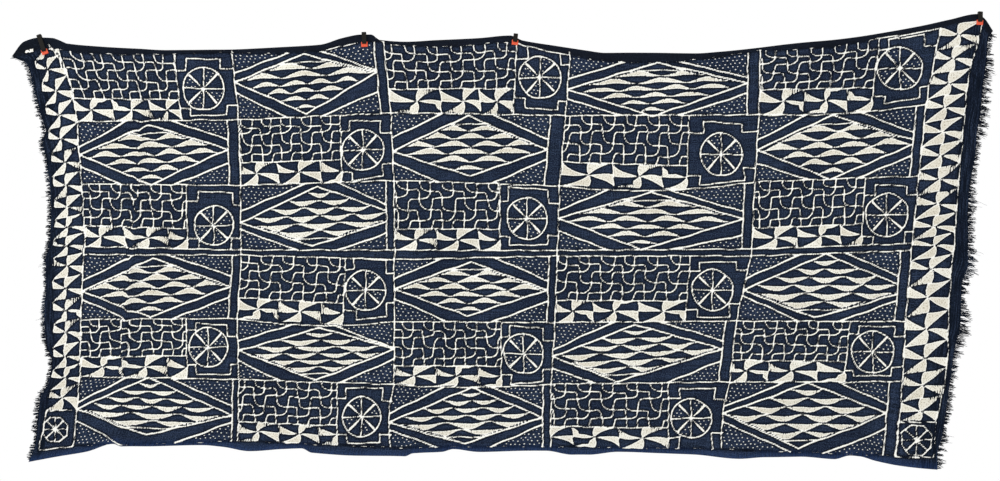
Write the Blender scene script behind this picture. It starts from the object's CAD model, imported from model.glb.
import math
import random

import bpy
import numpy as np
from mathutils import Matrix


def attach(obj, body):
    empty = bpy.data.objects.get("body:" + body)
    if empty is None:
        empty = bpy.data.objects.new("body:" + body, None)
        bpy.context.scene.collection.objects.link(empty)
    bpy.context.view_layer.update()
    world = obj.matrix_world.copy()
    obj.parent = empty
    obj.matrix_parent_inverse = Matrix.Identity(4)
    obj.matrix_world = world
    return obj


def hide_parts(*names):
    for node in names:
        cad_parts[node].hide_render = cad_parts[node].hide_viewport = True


# An ndop cloth, hung by its top edge from four small spring clips: how each surface looks.
# Metres, +Z up, the cloth's front towards -Y, the origin on the top edge, half way along.
# Tables are in millimetres on the hung cloth: along is X and height is Z.

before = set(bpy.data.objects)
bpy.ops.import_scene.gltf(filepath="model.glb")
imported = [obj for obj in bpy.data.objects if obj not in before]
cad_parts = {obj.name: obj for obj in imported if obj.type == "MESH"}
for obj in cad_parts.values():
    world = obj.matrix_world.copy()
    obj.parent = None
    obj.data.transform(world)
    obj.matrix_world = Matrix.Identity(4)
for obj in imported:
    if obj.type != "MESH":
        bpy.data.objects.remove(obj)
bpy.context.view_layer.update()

MM = 0.001

# Cloth, as it was woven: strips sewn edge to edge along the cloth's length
STRIPS = 8
CLOTH_LENGTH = 1.93
CLOTH_DROP = 0.826
SHEET_THICKNESS = 1.3 * MM
# Faces along and across a strip, and how far from a figure's edge its depth is kept, in
# millimetres
COLUMNS = 680
ROWS = 39
FIGURE_REACH = 6.0

# The shape in which the cloth hangs, as its solid has it: the turned lip's share of the drop and
# its lean, the belly between two clips and its place on the drop, how fast the folds grow
# downwards, and how far each clip holds the cloth flat, along it and as shares of its drop
LIP_SHARE = 0.05
LIP_LEAN = 9 * MM
BELLY = 11 * MM
BELLY_HEIGHT = 0.3
FOLD_GROWTH = 1.7
HOLD_REACH = 30 * MM
HOLD_FADE = 80 * MM
HOLD_DEPTH = 0.07
HOLD_DEPTH_FADE = 0.28

# Grip pads of the clips, and how far their middle lies from the cloth's
PAD_SIZE = (12.6 * MM, 2.9 * MM, 9.8 * MM)
PAD_RIB = 0.4 * MM
PAD_DEPTH_AT = 2.7 * MM

# Frayed ends: share of the drop where they start and stop, how deep the yarns are rooted, and
# how many were pulled out further than the rest
FRINGE_SHARES = (0.006, 0.992)
FRINGE_ROOT = 1.5 * MM
PULLED_OUT = 0.014

# Length of the frayed warp ends, read from the top down: (height, length)
LEFT_FRAY = ((-56, 6), (-190, 8), (-200, 5), (-300, 7), (-430, 6), (-500, 5), (-720, 8), (-830, 6))
RIGHT_FRAY = (
    (-20, 10), (-60, 13), (-190, 14), (-200, 8), (-300, 9), (-306, 14), (-360, 10), (-450, 16),
    (-500, 9), (-516, 16), (-610, 14), (-622, 9), (-704, 14), (-716, 8), (-820, 13), (-850, 6),
)

# Small relief that the cloth has beyond its solid: seams, their puckers, and cockles all over as
# (wave in metres, slant, phase, strength). A wave is given as its length over two pi
SEAM_DEPTH = 0.5 * MM
SEAM_WIDTH = 2.6 * MM
PUCKER = 0.35 * MM
PUCKER_REACH = 14 * MM
PUCKER_WAVE = 5.7 * MM
COCKLE = 0.55 * MM
COCKLES = (
    (0.012, 0.4, 0.3, 0.5), (0.0095, -0.7, 2.0, 0.4), (0.019, 1.6, 4.1, 0.9),
    (0.031, -2.2, 1.2, 1.2),
)

# Tied dots, and how far their patches stay from the lines round them, in millimetres
DOT_STEP = 10 * MM
DOT_ROW = 7 * MM
DOT_WIDTH = 2.8 * MM
DOT_HEIGHT = 1.9 * MM
SECTOR_MARGIN = 2.6
TRIANGLE_MARGIN = 3.6

# Stitched-off lines: width, and how far dye has eaten into them in places, in millimetres
BOLD_LINE = (3.8, 0.4)
NET_LINE = (2.8, 0.2)
RIM_LINE = (3.2, 0.2)
SPOKE_LINE = (2.7, 0.05)
STEP_LINE = (2.9, 0.15)
COLUMN_LINE = (3.0, 0.3)
UPRIGHT_LINE = (3.0, 0.4)
BESIDE_STRIP_LINE = (3.5, 0.4)
ROW_LINE = (2.9, 0.25)
CLEAR_LINE = (2.9, 0.3)
OUTER_ROW_LINE = (1.9, 1.7)
LEAF_LINE = (2.8, 0.05)
BORDER_LINE = (2.7, 0.4)
SQUARE_LINE = (3.0, 0.7)
SQUARE_END_LINE = (2.5, 1.1)
SMALL_RIM_LINE = (3.2, 0.5)
SMALL_SPOKE_LINES = ((2.5, 0.3), (3.2, 0.3))

# How far a pinwheel blade's back is drawn in, or swells where it is less than 0
BAND_BOWS = (0.08, 0.25)
LEFT_BOWS = (-0.04, 0.14)
RIGHT_BOWS = (-0.12, 0.08)

# Pinwheel blades: the bow past which a back is hollow, the share of hollow backs with a notch,
# how far from a blade's end its stitches may be loose, and how far a band's pinwheels lean, in
# millimetres
HOLLOW_BOW = 0.1
NOTCHED_SHARE = 0.2
LOOSE_REACH = 26.0
BAND_TILT = 3.6

# Wheel spokes that widen towards the rim: (share of the reach, half width in millimetres)
SPOKE_FORM = ((0, 0.3), (0.16, 0.9), (0.5, 2.0), (0.97, 2.3), (1, 1.5))
SPOKE_REACH = 0.94

# Strands of a net that step to the right and to the left: side, shift as a share of their
# spacing, and levels of their steps as shares of the net's height
STRANDS = ((1, 0.0, (0.19, 0.6)), (-1, 0.47, (0.35, 0.81)))

# Leaves of a lozenge: their number in each row; as shares of the lozenge's height the first
# row's place, the step between rows and a row's height; as shares of a row's height the rise of
# the leaves' rim, their height where two meet, and how much higher a crest stands
LEAF_COUNTS = (2, 3, 4, 3, 2, 1)
FIRST_LEAVES = 0.262
LEAF_STEP = 0.128
LEAF_ROW_HEIGHT = 0.129
LEAF_RIM = 0.2
LEAF_NECK = 0.14
LEAF_CREST = 0.77

# Leaves: gap to the lozenge's sides in millimetres, how loose their stitches are, and the thin
# line in the corner without leaves: half its length, and its place as a share of the lozenge's
# height, also in a turned lozenge
LEAF_GAP = 3.3
LEAF_LOOSENESS = 0.18
LEAF_LINE_HALF = 60
LEAF_LINE_PLACE = 0.14
TURNED_LEAF_LINE_PLACE = 0.88

# Column lines that start above the top row, and how far off that start is, in millimetres
HIGH_COLUMN_LINES = (1, 3)
HIGH_START = (-1, 7)

# Crease near the left end, (height, along) from the foot up, and how much of the pattern it
# swallows and lifts, in millimetres
TUCK = ((-720, -762), (-330, -726), (-150, -714))
TUCK_SWALLOWED = 4.5
TUCK_LIFT = 2.5

# Outline of the hung cloth, read from left to right: (along, height)
TOP_EDGE = (
    (-978, -40), (-952, -11), (-920, -3), (-894, -4), (-872, -14), (-822, -19), (-744, -24),
    (-668, -28), (-554, -27), (-444, -22), (-362, -17), (-316, -4), (-276, 3), (-258, 3),
    (-240, -8), (-190, -11), (-126, -8), (-42, -4), (20, 1), (46, -9), (110, -19), (172, -28),
    (212, -33), (292, -33), (392, -34), (438, -31), (494, -26), (594, -14), (690, -5), (780, 9),
    (850, 22), (900, 33), (954, 44), (968, 36), (986, 10),
)
FOOT_EDGE = (
    (-943, -852), (-888, -842), (-828, -832), (-770, -815), (-756, -820), (-700, -821),
    (-594, -818), (-554, -822), (-502, -831), (-432, -826), (-396, -824), (-376, -833),
    (-278, -840), (-190, -840), (-174, -834), (-116, -832), (-94, -827), (-40, -832), (92, -829),
    (146, -838), (176, -838), (236, -831), (308, -834), (392, -838), (478, -846), (532, -842),
    (600, -842), (668, -846), (698, -838), (718, -840), (754, -851), (798, -860), (874, -867),
)

# Woven ends, read from the top down: (height, along)
LEFT_END = (
    (-40, -978), (-56, -946), (-94, -934), (-152, -920), (-192, -908), (-214, -914),
    (-246, -907), (-342, -898), (-424, -902), (-442, -909), (-504, -908), (-552, -912),
    (-616, -908), (-650, -897), (-694, -904), (-726, -920), (-816, -930), (-852, -943),
)
RIGHT_END = (
    (10, 986), (-6, 976), (-46, 973), (-106, 965), (-156, 961), (-192, 954), (-224, 952),
    (-306, 939), (-356, 936), (-454, 936), (-498, 924), (-580, 920), (-622, 910), (-658, 904),
    (-748, 892), (-800, 884), (-836, 874), (-867, 874),
)

# Upright folds: along at the top, along at the foot, half width, rise towards the viewer at the
# top, rise at the foot
FOLDS = (
    (-716, -764, 19, 4, 13),
    (-810, -850, 60, -3, -8),
    (-640, -650, 60, 0, -6),
    (-600, -594, 42, 2, 7),
    (-470, -498, 58, -3, -8),
    (-404, -394, 32, 2, 9),
    (-300, -290, 60, 0, -6),
    (-188, -182, 30, 0, 8),
    (-104, -92, 28, 0, -8),
    (0, 40, 70, 3, -4),
    (70, 96, 40, 0, 8),
    (180, 160, 46, -4, -8),
    (240, 238, 42, 0, 8),
    (400, 430, 90, -5, -7),
    (528, 534, 38, 2, 7),
    (620, 610, 46, 0, -6),
    (706, 702, 32, 2, 12),
    (790, 780, 50, 0, -10),
    (880, 850, 40, 3, 6),
)

# Soft creases from one place to another: along, height, along, height, half width, rise
CREASES = (
    (-905, -40, -800, -330, 9, 2.4),
    (-880, -40, -640, -190, 10, -2.0),
    (-930, -60, -905, -300, 8, 1.8),
    (-271, -30, -330, -210, 9, -1.6),
    (-262, -30, -180, -230, 9, 1.6),
    (30, -30, -40, -190, 9, 1.4),
    (40, -30, 130, -210, 9, -1.6),
    (955, 20, 860, -190, 11, 2.2),
    (940, 10, 700, -110, 11, -2.2),
    (-714, -150, -724, -330, 5, 3.5),
    (-722, -300, -762, -720, 5, 4.5),
    (250, -560, 244, -830, 9, 2.0),
    (-396, -620, -392, -820, 8, 2.2),
    (610, -640, 604, -838, 9, -2.4),
    (706, -600, 700, -840, 8, 2.6),
)

# Clips: along and height of the pad's middle, how far it lies below the edge, lean to the left
# in degrees
CLIPS = (
    (-910, -32, 32, 20),
    (-271, -17, 20, 3),
    (30, -13, 13, -6),
    (959, 27, 17, -4),
)

# The figures stand in six rows of five places. These are the lines between the rows, from the
# top down, each as the places where it crosses the six column lines: (along, height). Between
# the third and fourth rows two lines leave a plain band.
ROW_LINES = (
    ((-886, -26), (-536, -33), (-233, -12), (140, -39), (520, -29), (880, 14)),
    ((-846, -171), (-522, -168), (-218, -154), (131, -159), (517, -158), (851, -137)),
    ((-837, -296), (-518, -299), (-212, -289), (119, -300), (508, -292), (837, -280)),
    ((-830, -421), (-518, -428), (-210, -428), (115, -429), (503, -426), (824, -415)),
    ((-834, -437), (-516, -438), (-212, -447), (114, -440), (501, -440), (823, -429)),
    ((-839, -567), (-526, -565), (-211, -571), (110, -573), (473, -570), (811, -571)),
    ((-841, -681), (-523, -687), (-212, -697), (102, -696), (460, -692), (806, -691)),
    ((-855, -820), (-525, -810), (-218, -823), (101, -821), (444, -827), (794, -840)),
)
# The topmost of those lines, just under the lip, which the swags bend: (along, height)
LIP_LINE = (
    (-978, -46), (-950, -38), (-930, -31), (-912, -24), (-890, -25), (-870, -29), (-840, -33),
    (-780, -36), (-720, -37), (-660, -36), (-600, -34), (-536, -33), (-476, -35), (-420, -33),
    (-380, -31), (-350, -29), (-320, -22), (-300, -17), (-284, -12), (-250, -11), (-230, -12),
    (-210, -18), (-144, -21), (-86, -22), (-66, -19), (-10, -13), (24, -12), (46, -19), (80, -27),
    (114, -33), (140, -39), (194, -47), (246, -52), (310, -53), (356, -51), (396, -46),
    (446, -41), (490, -33), (520, -29), (570, -28), (620, -25), (670, -21), (704, -15), (754, -6),
    (786, -2), (836, 5), (882, 15), (900, 20), (920, 26), (942, 31), (966, 36), (971, 12),
    (986, -20),
)
# Lines above and below each row of figures, as places in that table
ROW_SPANS = ((0, 1), (1, 2), (2, 3), (4, 5), (5, 6), (6, 7))
# How far a line sags or bends half way along one place: (line, column or row, millimetres)
SAGS = ((1, 5, -8), (2, 4, -13), (5, 2, -11), (6, 3, -6))
BENDS = ((2, 6, -7), (4, 6, -6), (0, 1, 6))

# Net, pinwheels and wheel: row, column, along of the upright between them at top and at foot,
# height of the net's foot at left and at right, along of the net's first strand, spacing of its
# strands, wheel's along, height, radius, which sectors are dotted, alongs of the three pinwheels
NETS = (
    (1, 1, -652, -635, -125, -128, -861, 42, -592, -106, 42, 0, -817, -736, -665),
    (1, 3, 33, 27, -107, -105, -194, 47, 80, -83, 42, 0, -165, -73, -7),
    (1, 5, 759, 740, -108, -104, 528, 47, 799, -65, 44, 1, 565, 651, 740),
    (2, 2, -320, -316, -254, -248, -516, 40, -274, -228, 41, 0, -486, -401, -318),
    (2, 4, 378, 372, -252, -260, 165, 44, 442, -237, 42, 1, 177, 279, 373),
    (3, 1, -627, -623, -379, -385, -820, 41, -571, -379, 39, 1, -800, -703, -623),
    (3, 3, 0, 0, -386, -386, -204, 45, 54, -365, 41, 1, -168, -85, 0),
    (3, 5, 729, 721, -384, -376, 519, 43, 773, -358, 43, 1, 550, 640, 724),
    (4, 2, -309, -316, -523, -535, -523, 45, -269, -509, 40, 0, -483, -399, -314),
    (4, 4, 381, 370, -529, -530, 160, 45, 425, -508, 41, 1, 145, 229, 327),
    (5, 1, -628, -625, -642, -639, -820, 41, -583, -622, 39, 1, -796, -708, -626),
    (5, 3, 2, 3, -660, -660, -195, 42, 47, -635, 40, 1, -171, -87, 2),
    (5, 5, 699, 687, -648, -651, 487, 44, 745, -632, 43, 1, 492, 583, 690),
    (6, 2, -326, -326, -772, -779, -491, 44, -277, -762, 39, 1, -485, -400, -326),
    (6, 4, 337, 337, -781, -784, 109, 48, 383, -765, 40, 0, 102, 190, 285),
)

# Stepped frame round each wheel, from the wheel's middle: row, column, then above the wheel and
# below it: shoulder at left, step at left, bar at left, bar at right, step at right, shoulder at
# right. With no bar, the steps run on to the row line.
STEPS = (
    (1, 1, 37, -35, 61, 59, 32, 40, -39, -25, -55, -52, 47, -33),
    (1, 3, 38, -25, None, None, 40, 26, -41, -29, -61, -66, 35, -47),
    (1, 5, 37, -21, 57, 67, 50, 45, -56, -30, -70, -59, 40, -37),
    (2, 2, 38, -27, 59, 58, 36, 34, -44, -21, -60, -52, 41, -27),
    (2, 4, 43, -34, 67, 60, 42, 44, -44, -42, -62, -51, 46, -27),
    (3, 1, 47, -32, 67, 65, 37, 40, -26, -30, None, None, 33, -27),
    (3, 3, 34, -38, 63, 56, 42, 31, -36, -35, -54, -52, 41, -35),
    (3, 5, 40, -24, 60, 59, 41, 40, -44, -28, None, None, 36, -33),
    (4, 2, 42, -23, 65, 61, 42, 35, -40, -19, -57, -53, 42, -25),
    (4, 4, 38, -25, 56, 56, 49, 39, -40, -32, -54, -54, 35, -28),
    (5, 1, 35, -25, 48, 42, 38, 21, -36, -25, -54, -56, 44, -35),
    (5, 3, 34, -29, 55, 50, 39, 26, -43, -24, -61, -54, 39, -33),
    (5, 5, 36, -28, 52, 50, 45, 31, -36, -39, -48, -48, 37, -30),
    (6, 2, 37, -32, 58, 57, 42, 33, -36, -29, -53, -53, 37, -35),
    (6, 4, 40, -23, 59, 59, 47, 37, -38, -25, None, None, 42, -29),
)

# Lozenges: row, column, width of the plain strip at the right, top corner's along and height,
# heights at the right where the upper and the lower side end, height at the left, foot corner's
# along and height, then where the outer lines start and end: along at the top and height at the
# left, the same at the right, along at the foot and height at the left, the same at the right;
# last, whether the leaves hang down
LOZENGES = (
    (1, 2, 20, -392, -36, -72, -72, -93, -386, -156,
     (-422, -75, -360, -69, -425, -113, -355, -111), 0),
    (1, 4, 24, 315, -54, -95, -95, -107, 304, -161,
     (252, -86, 356, -84, 244, -125, 355, -115), 0),
    (2, 1, 22, -701, -178, -227, -227, -238, -696, -298,
     (-746, -223, -658, -207, -756, -260, -652, -254), 0),
    (2, 3, 30, -63, -160, -227, -227, -231, -60, -280,
     (-114, -204, -16, -207, -121, -252, -18, -246), 0),
    (2, 5, 18, 665, -159, -208, -217, -229, 659, -287,
     (611, -209, 719, -194, 617, -255, 713, -239), 0),
    (3, 2, 16, -365, -301, -350, -371, -373, -374, -420,
     (-387, -350, -326, -338, -404, -386, -326, -394), 1),
    (3, 4, 20, 301, -313, -366, -366, -364, 282, -427,
     (216, -348, 340, -351, 215, -389, 343, -399), 0),
    (4, 1, 18, -694, -444, -501, -501, -511, -700, -562,
     (-730, -490, -666, -480, -746, -527, -656, -522), 0),
    (4, 3, 16, -57, -452, -508, -508, -506, -65, -560,
     (-117, -486, -13, -490, -104, -525, -18, -530), 0),
    (4, 5, 21, 651, -436, -496, -516, -508, 628, -563,
     (602, -485, 689, -480, 599, -519, 674, -529), 1),
    (5, 2, 0, -361, -583, -626, -626, -629, -368, -688,
     (-417, -610, -332, -624, -439, -649, -322, -646), 1),
    (5, 4, 22, 269, -577, -626, -626, -641, 233, -691,
     (229, -628, 317, -610, 190, -665, 334, -650), 1),
    (6, 1, 12, -703, -683, -759, -759, -746, -708, -798,
     (-745, -733, -658, -740, -757, -769, -651, -772), 1),
    (6, 3, 16, -57, -703, -763, -763, -772, -72, -816,
     (-111, -755, -18, -745, -127, -787, -18, -776), 1),
    (6, 5, 26, 616, -694, -755, -755, -755, 597, -825,
     (568, -741, 675, -737, 582, -772, 645, -786), 1),
)

# Stretches of the line under the lip that stand out clearly
BRIGHT_EDGES = (
    ((-350, -29), (-320, -22), (-284, -12)),
    ((34, -13), (46, -19), (80, -27), (136, -38)),
    ((-904, -16), (-896, -26), (-880, -48), (-876, -68)),
    ((754, -5), (836, 6), (882, 16)),
)

# Short bar in the top left corner
CORNER_BAR = ((-948, -32), (-934, -28))
CORNER_BAR_WIDTH = 6.0

# Side borders: outer side from the top down, (along, height), and the pinwheels' heights
LEFT_BORDER = (
    (-934, -28), (-931, -56), (-916, -100), (-908, -156), (-903, -203), (-898, -249), (-895, -294),
    (-890, -340), (-894, -418), (-896, -504), (-894, -586), (-895, -678), (-904, -724),
    (-910, -750),
)
RIGHT_BORDER = (
    (966, 28), (954, -18), (942, -60), (936, -88), (930, -148), (922, -232), (916, -302),
    (908, -418), (902, -470), (897, -548), (895, -644), (888, -700), (878, -741), (870, -772),
)
LEFT_PINWHEELS = (
    -24, -64, -109, -157, -205, -252, -299, -342, -381, -418, -459, -504, -548, -592, -640,
    -683, -723,
)
RIGHT_PINWHEELS = (
    2, -45, -96, -143, -192, -239, -287, -337, -381, -419, -466, -523, -586, -644, -698, -751,
)
# Outer side, pinwheels, column line on the inner side, tilt of the lines between the pinwheels,
# share of the width at which their middles lie, height at top and at foot, bows of the blades
BORDERS = (
    (LEFT_BORDER, LEFT_PINWHEELS, 0, 0.24, 0.45, 8, -750, LEFT_BOWS),
    (RIGHT_BORDER, RIGHT_PINWHEELS, 5, 0.19, 0.5, 26, -770, RIGHT_BOWS),
)

# Small wheels at the borders' feet: corners of the lines round them, middle, radius, seed
CORNER_SQUARES = (
    (((-907, -751), (-858, -748), (-856, -822), (-923, -828)), (-891, -787), 26, 4),
    (((797, -773), (872, -772), (866, -842), (792, -843)), (833, -808), 32, 9),
)
SQUARE_END = ((872, -772), (866, -842))

# Fringes: side, end of the cloth's length as a share, lengths, width of a tuft, yarns in a tuft,
# droop of the tufts as shares of their length, seed
FRINGES = (
    ("left", 0, LEFT_FRAY, 4.0 * MM, 9, (-0.1, 0.6), 3),
    ("right", 1, RIGHT_FRAY, 5.0 * MM, 11, (0.0, 0.8), 5),
)

# Studio: camera's place and lens, floor's height, soft lights as (place, size, watts), and the
# height that they are aimed at
CAMERA_PLACE = (0, -4.4444, -0.409)
CAMERA_LENS = 80
FLOOR_HEIGHT = -1.45
LIGHTS = {"key": ((-2.9, -2.6, 1.6), 1.2, 48), "fill": ((2.8, -3.0, 0.2), 2.2, 6)}
LIT_HEIGHT = -0.4


def through(table, at):
    """A smooth curve through a table's two columns, in metres, read at the places given.

    Its slope is 0 where the table turns back, so the curve never swings past a point.
    """
    places, values = np.array(table, float).T * MM
    if places[0] > places[-1]:
        places, values = places[::-1], values[::-1]
    runs = np.diff(values) / np.diff(places)
    product, total = runs[:-1] * runs[1:], runs[:-1] + runs[1:]
    steady = product > 0
    inner = np.where(steady, 2 * product / np.where(steady, total, 1), 0)
    slopes = np.concatenate([runs[:1], inner, runs[-1:]])
    after = np.clip(np.searchsorted(places, at), 1, len(places) - 1)
    before = after - 1
    span = places[after] - places[before]
    t = np.clip((at - places[before]) / span, 0, 1)
    return (
        (1 + 2 * t) * (1 - t) ** 2 * values[before]
        + t * (1 - t) ** 2 * span * slopes[before]
        + t**2 * (3 - 2 * t) * values[after]
        + t**2 * (t - 1) * span * slopes[after]
    )


def smooth_step(value, start, end):
    t = np.clip((value - start) / (end - start), 0, 1)
    return t * t * (3 - 2 * t)


def edge_point(table, share, upright):
    """(along, height) of a point on one edge, at a share of the way from its first point."""
    places = np.array(table, float)[:, 0] * MM
    at = places[0] + (places[-1] - places[0]) * share
    across = through(table, at)
    return (across, at) if upright else (at, across)


def held(along, share_down):
    """1 where a clip grips the cloth, fading to 0 around it."""
    grip = np.zeros(np.broadcast(along, share_down).shape)
    for clip_along, _, _, _ in CLIPS:
        reach = 1 - smooth_step(np.abs(along - clip_along * MM), HOLD_REACH, HOLD_FADE)
        grip = np.maximum(grip, reach)
    return grip * (1 - smooth_step(share_down, HOLD_DEPTH, HOLD_DEPTH_FADE))


def rise(along, share_down):
    """How far the solid's folds stand towards the viewer."""
    total = np.zeros(np.broadcast(along, share_down).shape)
    for top, foot, half_width, top_rise, foot_rise in FOLDS:
        crest = (top + (foot - top) * share_down) * MM
        height = top_rise + (foot_rise - top_rise) * share_down**FOLD_GROWTH
        total += height * MM * np.exp(-(((along - crest) / (half_width * MM)) ** 2))
    clips = [row[0] * MM for row in CLIPS]
    for left, right in zip(clips, clips[1:]):
        between = np.clip((along - left) / (right - left), 0, 1)
        drop = np.exp(-(((share_down - BELLY_HEIGHT) / BELLY_HEIGHT) ** 2))
        total += BELLY * np.sin(math.pi * between) ** 2 * drop
    total -= LIP_LEAN * np.clip(1 - share_down / LIP_SHARE, 0, 1) ** 2
    return total


def small_relief(along, height, share_down):
    """Creases, seams and cockles that lie on the folds."""
    total = np.zeros(along.shape)
    for along_0, height_0, along_1, height_1, half_width, crest in CREASES:
        start = np.array([along_0, height_0]) * MM
        run = np.array([along_1, height_1]) * MM - start
        share = ((along - start[0]) * run[0] + (height - start[1]) * run[1]) / (run @ run)
        off = ((along - start[0]) * run[1] - (height - start[1]) * run[0]) / math.hypot(*run)
        fade = np.clip(np.sin(math.pi * np.clip(share, 0, 1)) * 1.4, 0, 1)
        total += crest * MM * fade * np.exp(-((off / (half_width * MM)) ** 2))
    from_seam = np.abs((share_down * STRIPS + 0.5) % 1 - 0.5) * CLOTH_DROP / STRIPS
    seam_number = np.round(share_down * STRIPS)
    inner = (seam_number > 0) & (seam_number < STRIPS)
    ripple = np.sin(along / PUCKER_WAVE + seam_number * 2.1 + 1.5 * np.sin(along / 0.031))
    total -= inner * SEAM_DEPTH * np.exp(-((from_seam / SEAM_WIDTH) ** 2))
    total += inner * PUCKER * ripple * np.exp(-((from_seam / PUCKER_REACH) ** 2))
    for wave, slant, phase, size in COCKLES:
        total += COCKLE * size * np.sin(
            along / wave + height * slant / wave + phase + 1.3 * np.sin(height / 0.043 + phase)
        )
    return total


def cloth_surface(share_along, share_down):
    """Points of the cloth's middle surface, at shares of its length and of its drop."""
    a, b = share_along, share_down
    top, foot = edge_point(TOP_EDGE, a, False), edge_point(FOOT_EDGE, a, False)
    left, right = edge_point(LEFT_END, b, True), edge_point(RIGHT_END, b, True)
    place = []
    for axis in range(2):
        corners = [MM * TOP_EDGE[0][axis], MM * TOP_EDGE[-1][axis]]
        corners += [MM * FOOT_EDGE[0][axis], MM * FOOT_EDGE[-1][axis]]
        between_corners = (1 - b) * ((1 - a) * corners[0] + a * corners[1])
        between_corners = between_corners + b * ((1 - a) * corners[2] + a * corners[3])
        across = (1 - b) * top[axis] + b * foot[axis] + (1 - a) * left[axis] + a * right[axis]
        place.append(across - between_corners)
    along, height = place
    out = (rise(along, b) + small_relief(along, height, b)) * (1 - held(along, b))
    return np.stack([along, -out, height], axis=-1)


def distance(places, path):
    """How far each place is from a path."""
    nearest = np.full(len(places), np.inf)
    for start, end in zip(path, path[1:]):
        step = end - start
        share = np.clip((places - start) @ step / max(step @ step, 1e-9), 0, 1)
        gap = places - start - share[:, None] * step
        nearest = np.minimum(nearest, np.hypot(gap[:, 0], gap[:, 1]))
    return nearest


def enclosed(places, outline):
    """Which places lie inside a closed outline."""
    found = np.zeros(len(places), bool)
    for start, end in zip(outline, np.roll(outline, -1, axis=0)):
        if start[1] == end[1]:
            continue
        crossing = (places[:, 1] > start[1]) != (places[:, 1] > end[1])
        at = start[0] + (places[:, 1] - start[1]) * (end[0] - start[0]) / (end[1] - start[1])
        found ^= crossing & (places[:, 0] < at)
    return found


def depth_in(places, corners):
    """How far inside a convex outline each place lies, negative outside."""
    corners = np.array(corners, float)
    middle = corners.mean(axis=0)
    depth = np.full(len(places), np.inf)
    for start, end in zip(corners, np.roll(corners, -1, axis=0)):
        run = end - start
        if math.hypot(*run) < 0.5:
            continue
        normal = np.array([run[1], -run[0]]) / math.hypot(*run)
        if (middle - start) @ normal < 0:
            normal = -normal
        depth = np.minimum(depth, (places - start) @ normal)
    return depth


def softened(points, times=2):
    """A path with its corners cut, which rounds them."""
    points = np.array(points, float)
    for _ in range(times):
        start, end = points[:-1], points[1:]
        cut = np.stack([0.75 * start + 0.25 * end, 0.25 * start + 0.75 * end], axis=1)
        points = np.concatenate([points[:1], cut.reshape(-1, 2)[1:-1], points[-1:]])
    return points


def bowed(start, end, towards, amount, steps=5):
    """Points on a curve from start to end, whose middle is drawn towards a place."""
    start, end, towards = (np.array(p, float) for p in (start, end, towards))
    middle = (start + end) / 2
    pull = 2 * amount * (towards - middle)
    t = np.linspace(0, 1, steps)[:, None]
    return start + (end - start) * t + 2 * t * (1 - t) * pull


def between(start, end, share):
    return tuple(a + (b - a) * share for a, b in zip(start, end))


class Figures:
    """The stitched-off figures, as depths in millimetres at every point of the cloth."""

    def __init__(self, along, height):
        wobble = 1.1 * np.sin(height / 11 + along / 37) + 0.7 * np.sin(height / 6.3 - along / 19)
        waver = 1.0 * np.sin(along / 12.5 + height / 41) + 0.7 * np.sin(along / 7.1 - height / 23)
        off = along - np.interp(height, *np.array(TUCK, float).T)
        fade = smooth_step(height, -720, -600) * (1 - smooth_step(height, -200, -120))
        swallowed = TUCK_SWALLOWED * np.tanh(off / 2.5) * np.exp(-((off / 15) ** 2)) * fade
        lifted = TUCK_LIFT * np.exp(-((off / 7) ** 2)) * fade
        self.along = along + 0.55 * wobble + swallowed
        self.height = height + 0.55 * waver + lifted
        self.undyed = np.full(along.shape, -FIGURE_REACH)
        self.dotted = np.full(along.shape, -FIGURE_REACH)
        self.loose = np.zeros(along.shape)
        patchy = np.sin(along / 3.9 + 2 * np.sin(height / 17)) * np.sin(height / 4.7 + along / 13)
        self.patchy = 0.5 + 0.5 * patchy

    def near(self, points):
        """Which points of the cloth lie close to a figure, and where they are."""
        points = np.array(points, float)
        left, low = points.min(axis=0) - FIGURE_REACH
        right, high = points.max(axis=0) + FIGURE_REACH
        spot = (self.along > left) & (self.along < right)
        spot &= (self.height > low) & (self.height < high)
        return spot, np.stack([self.along[spot], self.height[spot]], axis=-1)

    def add_undyed(self, spot, depth):
        self.undyed[spot] = np.maximum(self.undyed[spot], depth)

    def line(self, points, width, broken=0.0, inside=None):
        """A line of stitches, which may be cut off at the sides of a convex outline."""
        points = np.array(points, float)
        spot, places = self.near(points)
        depth = width / 2 - distance(places, points) - broken * self.patchy[spot]
        if inside is not None:
            depth = np.minimum(depth, depth_in(places, inside))
        self.add_undyed(spot, depth)

    def patch(self, outline, loose_at=None, looseness=0.0):
        """A filled figure. Around one place its stitches may be less tight, so dye seeps in."""
        outline = np.array(outline, float)
        spot, places = self.near(outline)
        gap = distance(places, np.concatenate([outline, outline[:1]]))
        depth = np.where(enclosed(places, outline), gap, -gap)
        self.add_undyed(spot, depth)
        if looseness > 0:
            away = np.hypot(places[:, 0] - loose_at[0], places[:, 1] - loose_at[1])
            loose = looseness * np.clip(1 - away / LOOSE_REACH, 0, 1) * np.clip(depth / 2, 0, 1)
            self.loose[spot] = np.maximum(self.loose[spot], loose)

    def trim(self, height_of_line):
        """Takes away all that stands above a line."""
        below = height_of_line - self.height
        self.undyed = np.minimum(self.undyed, below)
        self.dotted = np.minimum(self.dotted, below)

    def dots(self, corners, margin):
        """A patch of tied dots, with a plain margin inside its sides."""
        spot, places = self.near(corners)
        depth = depth_in(places, corners) - margin
        self.dotted[spot] = np.maximum(self.dotted[spot], depth)


def lip_height(along):
    """Height of the line under the lip."""
    return np.interp(along, *np.array(LIP_LINE, float).T)


def row_point(line, column, share):
    """A point of a row line, at a share of the way across one column's place."""
    start, end = ROW_LINES[line][column - 1], ROW_LINES[line][column]
    along, height = between(start, end, share)
    if line == 0:
        return along, lip_height(along)
    for sag_line, sag_column, sag in SAGS:
        if (sag_line, sag_column) == (line, column):
            height += sag * 4 * share * (1 - share)
    return along, height


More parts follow.
